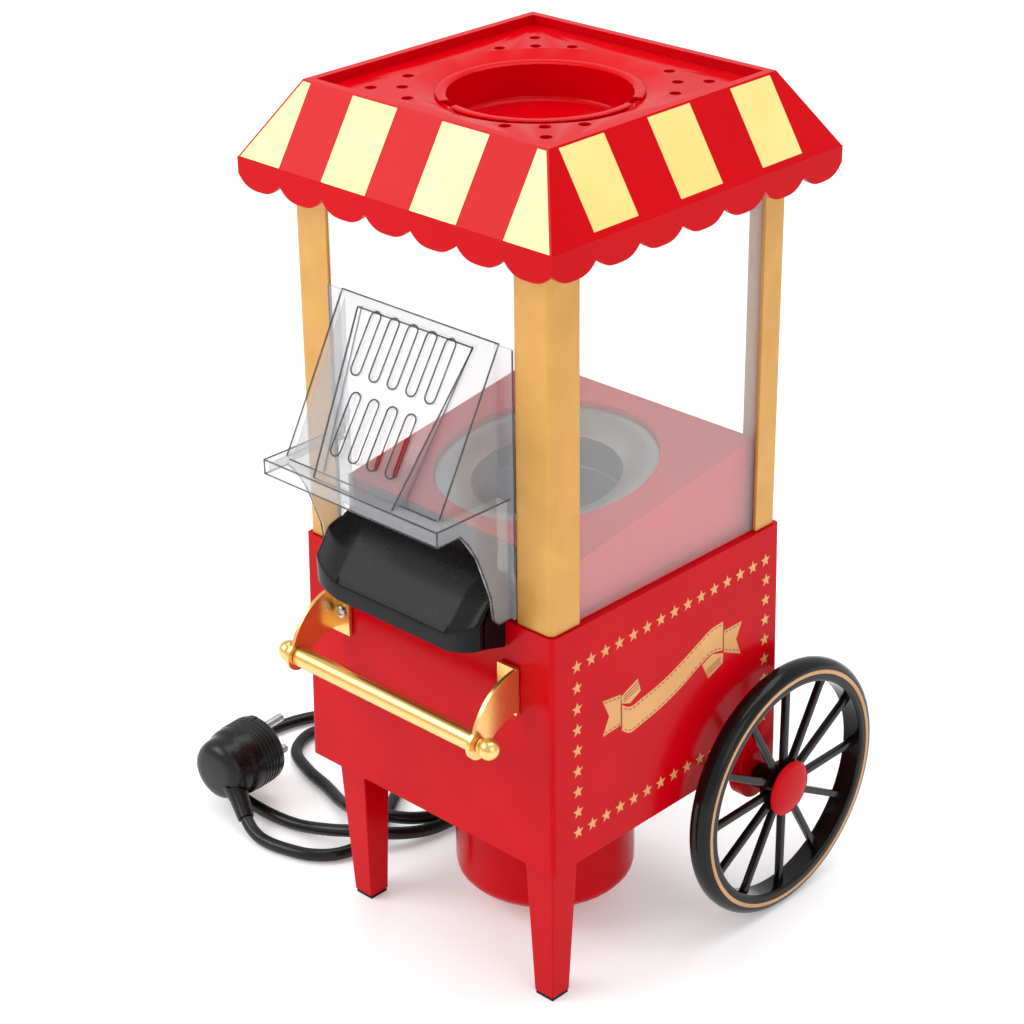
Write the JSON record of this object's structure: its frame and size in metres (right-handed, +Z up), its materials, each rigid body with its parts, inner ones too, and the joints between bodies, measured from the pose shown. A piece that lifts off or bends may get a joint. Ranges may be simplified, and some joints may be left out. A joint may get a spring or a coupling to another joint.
{
  "type": "popcorn cart",
  "caption": "Table-top hot-air popcorn maker styled as an old fairground cart: red body, gold corner posts, striped hipped roof, clear windows and hood, black spoked wheels.",
  "frame": {"origin": "on the floor, in the middle of the floor area the cart covers without its cord", "axes": "+Z up, -Y the front with the handle and chute, +X the right side as seen from the front"},
  "size_m": [0.3217, 0.2866, 0.431],
  "materials": {
    "red_paint": "gloss red enamel",
    "gold_paint": "satin gold enamel",
    "roof_print": "gold foil and red stripes on moulded plastic",
    "gold_polish": "polished gold plating",
    "black_plastic": "fine satin black moulding",
    "black_gloss": "gloss black moulding",
    "clear_plastic": "clear polycarbonate",
    "aluminium": "spun aluminium, softly brushed",
    "steel": "plain steel",
    "mica": "pressed mica board",
    "board": "green circuit board",
    "pvc": "smooth black PVC"
  },
  "bodies": {
    "cart": {"axle": "steel", "base_plate": "black_plastic", "base_screw_1": "steel", "base_screw_2": "steel", "base_screw_3": "steel", "base_screw_4": "steel", "body_shell": "red_paint", "chute": "black_plastic", "cord_gland": "pvc", "deck": "red_paint", "fan_housing": "red_paint", "front_left_post": "gold_paint", "front_right_post": "gold_paint", "front_window": "clear_plastic", "handle_bar": "gold_polish", "heater_frame": "mica", "heater_shroud": "aluminium", "heating_ring_1": "steel", "heating_ring_2": "steel", "kettle_rim": "aluminium", "left_axle_bracket": "red_paint", "left_bracket_screw": "steel", "left_foot_pad": "black_plastic", "left_handle_ball": "gold_polish", "left_handle_bracket": "gold_polish", "left_leg": "red_paint", "left_window": "clear_plastic", "motor": "steel", "motor_bracket": "steel", "plug_body": "pvc", "plug_pin_1": "steel", "plug_pin_2": "steel", "plug_strain_relief": "pvc", "popping_chamber": "aluminium", "power_cord": "pvc", "rear_left_post": "gold_paint", "rear_right_post": "gold_paint", "rear_window": "clear_plastic", "rectifier_board": "board", "right_axle_bracket": "red_paint", "right_bracket_screw": "steel", "right_foot_pad": "black_plastic", "right_handle_ball": "gold_polish", "right_handle_bracket": "gold_polish", "right_leg": "red_paint", "right_window": "clear_plastic", "roof_canopy": "roof_print", "switch_bezel": "black_plastic", "thermostat": "steel"},
    "left_wheel_body": {"left_wheel": "black_gloss", "left_hub_cap": "red_paint"},
    "right_wheel_body": {"right_wheel": "black_gloss", "right_hub_cap": "red_paint"},
    "cup": {"measuring_cup": "roof_print"},
    "hood_body": {"hood": "clear_plastic"},
    "rocker": {"switch_rocker": "black_gloss"},
    "fan": {"impeller": "black_plastic"}
  },
  "joints": [
    {"name": "left_wheel_spin", "type": "hinge", "parent": "cart", "child": "left_wheel_body", "pos_m": [-0.0942, 0.065, 0.068], "axis": [1, 0, 0], "continuous": true},
    {"name": "right_wheel_spin", "type": "hinge", "parent": "cart", "child": "right_wheel_body", "pos_m": [0.0942, 0.065, 0.068], "axis": [1, 0, 0], "continuous": true},
    {"name": "cup_lift", "type": "slide", "parent": "cart", "child": "cup", "axis": [0, 0, 1], "range_m": [0, 0.05]},
    {"name": "hood_lift", "type": "slide", "parent": "cart", "child": "hood_body", "axis": [0, 0, 1], "range_m": [0, 0.035]},
    {"name": "switch_rock", "type": "hinge", "parent": "cart", "child": "rocker", "pos_m": [0.044, 0.0715, 0.15], "axis": [1, 0, 0], "range_deg": [0, 16]},
    {"name": "fan_spin", "type": "hinge", "parent": "cart", "child": "fan", "pos_m": [0, -0.008, 0.075], "axis": [0, 0, 1], "continuous": true}
  ]
}
